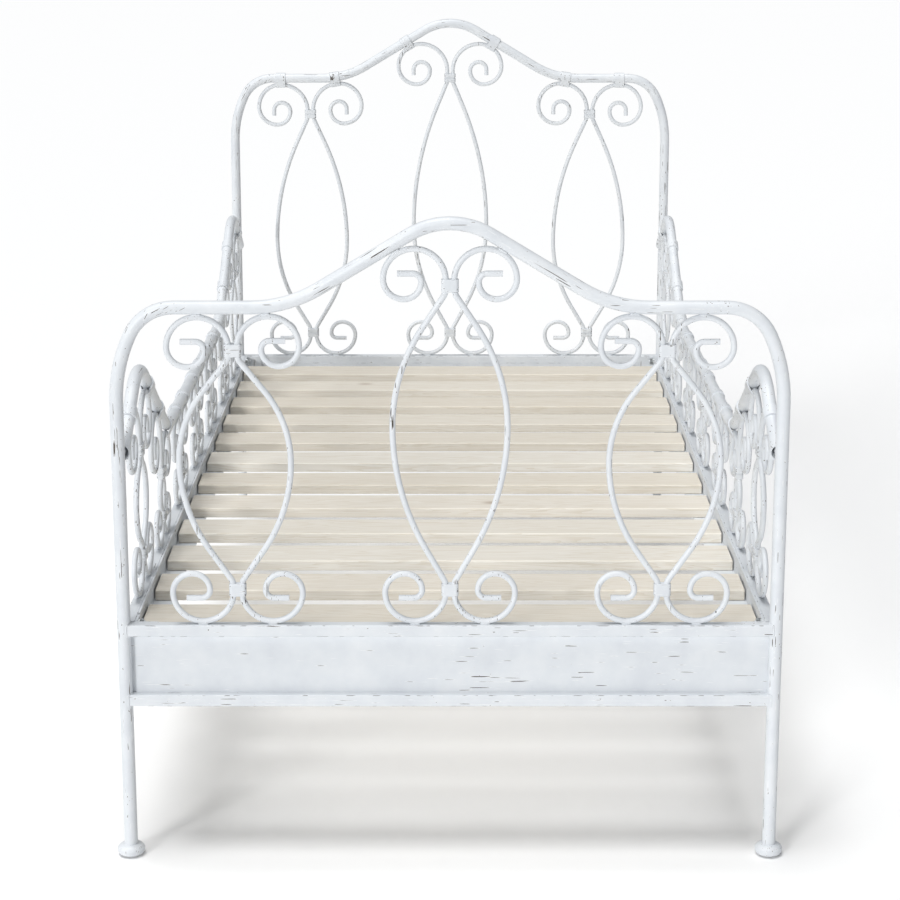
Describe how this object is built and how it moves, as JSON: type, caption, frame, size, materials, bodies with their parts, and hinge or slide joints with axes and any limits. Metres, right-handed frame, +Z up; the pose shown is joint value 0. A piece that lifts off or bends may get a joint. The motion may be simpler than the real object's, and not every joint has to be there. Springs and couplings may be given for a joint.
{
  "type": "metal bed frame",
  "caption": "Painted iron twin bed frame with arched scrollwork headboard and footboard, low scrolled side guards, turned feet and a loose slat deck.",
  "frame": {"origin": "on the floor under the middle of the bed", "axes": "+Y towards the headboard, +X across the bed to its right side, +Z up"},
  "size_m": [1.078, 2.004, 1.2132],
  "materials": {
    "painted_iron": "hand-brushed white enamel, worn through to dark iron on edges",
    "painted_iron_fixings": "white enamel over steel bolt heads",
    "zinc": "bright zinc-plated steel",
    "pine": "planed and sanded pine",
    "glide": "moulded nylon"
  },
  "bodies": {
    "root": {"corner_angle_foot_left": "painted_iron", "corner_angle_foot_right": "painted_iron", "corner_angle_head_left": "painted_iron", "corner_angle_head_right": "painted_iron", "corner_bolts": "painted_iron_fixings", "corner_nuts": "zinc", "corner_washers": "zinc", "floor_glides": "glide", "foot_apron": "painted_iron", "foot_bun_foot_left": "painted_iron", "foot_bun_foot_right": "painted_iron", "foot_hoop_tube": "painted_iron", "foot_knot_collars": "painted_iron", "foot_lower_bar": "painted_iron", "foot_lyre_centre": "painted_iron", "foot_lyre_left": "painted_iron", "foot_lyre_right": "painted_iron", "foot_upper_bar": "painted_iron", "head_apron": "painted_iron", "head_bun_foot_left": "painted_iron", "head_bun_foot_right": "painted_iron", "head_hoop_tube": "painted_iron", "head_knot_collars": "painted_iron", "head_lower_bar": "painted_iron", "head_lyre_centre": "painted_iron", "head_lyre_left": "painted_iron", "head_lyre_right": "painted_iron", "head_tie_rings": "painted_iron", "head_upper_bar": "painted_iron", "pine_slats": "pine", "rail_pins": "painted_iron", "side_left_apron": "painted_iron", "side_left_knot_collars": "painted_iron", "side_left_lower_bar": "painted_iron", "side_left_lyre_1": "painted_iron", "side_left_lyre_2": "painted_iron", "side_left_lyre_3": "painted_iron", "side_left_lyre_4": "painted_iron", "side_left_lyre_5": "painted_iron", "side_left_lyre_6": "painted_iron", "side_left_lyre_7": "painted_iron", "side_left_slat_ledge": "painted_iron", "side_left_tie_rings": "painted_iron", "side_left_top_rail": "painted_iron", "side_left_upper_bar": "painted_iron", "side_right_apron": "painted_iron", "side_right_knot_collars": "painted_iron", "side_right_lower_bar": "painted_iron", "side_right_lyre_1": "painted_iron", "side_right_lyre_2": "painted_iron", "side_right_lyre_3": "painted_iron", "side_right_lyre_4": "painted_iron", "side_right_lyre_5": "painted_iron", "side_right_lyre_6": "painted_iron", "side_right_lyre_7": "painted_iron", "side_right_slat_ledge": "painted_iron", "side_right_tie_rings": "painted_iron", "side_right_top_rail": "painted_iron", "side_right_upper_bar": "painted_iron"}
  },
  "joints": []
}
